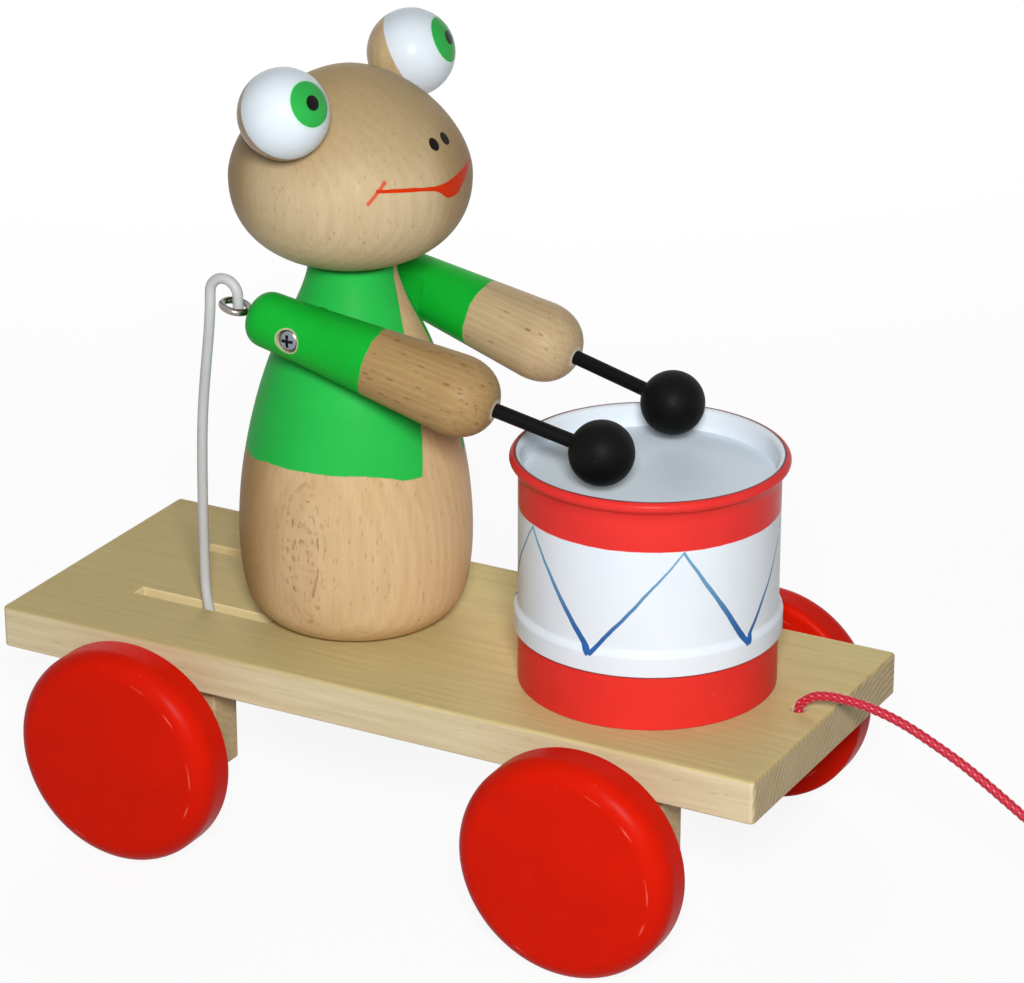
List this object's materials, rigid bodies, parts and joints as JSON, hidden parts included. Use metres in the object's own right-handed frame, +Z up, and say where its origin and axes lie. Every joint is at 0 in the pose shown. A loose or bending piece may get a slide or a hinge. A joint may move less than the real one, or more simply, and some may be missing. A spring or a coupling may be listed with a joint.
{
  "type": "wheeled pull toy",
  "caption": "Wooden pull toy: a turned frog on a wheeled board; a cranked rear axle and push rods swing its arms to beat a tin drum, with a braided pull cord and bead.",
  "frame": {"origin": "on the floor under the middle of the board", "axes": "+X forward along the board towards the pull cord, +Y to the toy's left, +Z up"},
  "size_m": [0.3809, 0.142, 0.2307],
  "materials": {
    "beech": "clear lacquer",
    "board_wood": "satin",
    "red_paint": "gloss paint on wood",
    "green_paint": "satin paint on wood",
    "eye_white": "gloss paint on wood",
    "black_paint": "satin paint on wood",
    "drum_enamel": "gloss enamel",
    "drum_red": "gloss paint on wood",
    "steel": "zinc plated",
    "nickel": "bright nickel",
    "rod_plastic": "milky",
    "cord": "braided"
  },
  "bodies": {
    "chassis": {"base_board": "board_wood", "right_front_block": "board_wood", "left_front_block": "board_wood", "right_rear_block": "board_wood", "left_rear_block": "board_wood", "front_block_screws": "steel", "rear_block_screws": "steel", "figure_body": "beech", "figure_screw": "steel", "neck_dowel": "beech", "head": "beech", "right_eye": "eye_white", "left_eye": "eye_white", "right_eye_dowel": "beech", "left_eye_dowel": "beech", "right_pivot_washer": "beech", "left_pivot_washer": "beech", "right_pivot_screw": "steel", "left_pivot_screw": "steel", "drum_base": "drum_red", "drum_shell": "drum_enamel", "drum_skin": "drum_enamel", "drum_screws": "steel", "pull_cord": "cord", "pull_cord_coil": "cord", "coil_tie": "cord", "pull_bead": "red_paint", "stopper_knot": "cord", "end_knot": "cord"},
    "front_wheels": {"front_axle": "steel", "right_front_wheel": "red_paint", "left_front_wheel": "red_paint", "right_front_spacer": "beech", "left_front_spacer": "beech"},
    "rear_wheels": {"rear_axle": "steel", "right_rear_wheel": "red_paint", "left_rear_wheel": "red_paint", "right_rear_spacer": "beech", "left_rear_spacer": "beech"},
    "right_arm": {"right_arm": "green_paint", "right_drumstick": "black_paint", "right_mallet": "black_paint", "right_screw_eye": "nickel"},
    "left_arm": {"left_arm": "green_paint", "left_drumstick": "black_paint", "left_mallet": "black_paint", "left_screw_eye": "nickel"},
    "right_rod": {"right_push_rod": "rod_plastic"},
    "left_rod": {"left_push_rod": "rod_plastic"}
  },
  "joints": [
    {"name": "front_axle_spin", "type": "hinge", "parent": "chassis", "child": "front_wheels", "pos_m": [0.0735, 0, 0.032], "axis": [0, 1, 0], "continuous": true},
    {"name": "rear_axle_spin", "type": "hinge", "parent": "chassis", "child": "rear_wheels", "pos_m": [-0.069, 0, 0.032], "axis": [0, 1, 0], "continuous": true},
    {"name": "right_arm_swing", "type": "hinge", "parent": "chassis", "child": "right_arm", "pos_m": [-0.0284, -0.0272, 0.154], "axis": [0, -1, 0], "range_deg": [-2, 27]},
    {"name": "left_arm_swing", "type": "hinge", "parent": "chassis", "child": "left_arm", "pos_m": [-0.0284, 0.0272, 0.154], "axis": [0, -1, 0], "range_deg": [-2, 27]},
    {"name": "right_rod_swing", "type": "hinge", "parent": "right_arm", "child": "right_rod", "pos_m": [-0.04883, -0.02852, 0.15866], "axis": [0, -1, 0], "range_deg": [-27, 2]},
    {"name": "left_rod_swing", "type": "hinge", "parent": "left_arm", "child": "left_rod", "pos_m": [-0.04883, 0.02852, 0.15866], "axis": [0, -1, 0], "range_deg": [-27, 2]}
  ],
  "couplings": [
    {"joint": "left_arm_swing", "follows": "right_arm_swing", "ratio": 1},
    {"joint": "right_rod_swing", "follows": "right_arm_swing", "ratio": -1},
    {"joint": "left_rod_swing", "follows": "right_arm_swing", "ratio": -1}
  ]
}
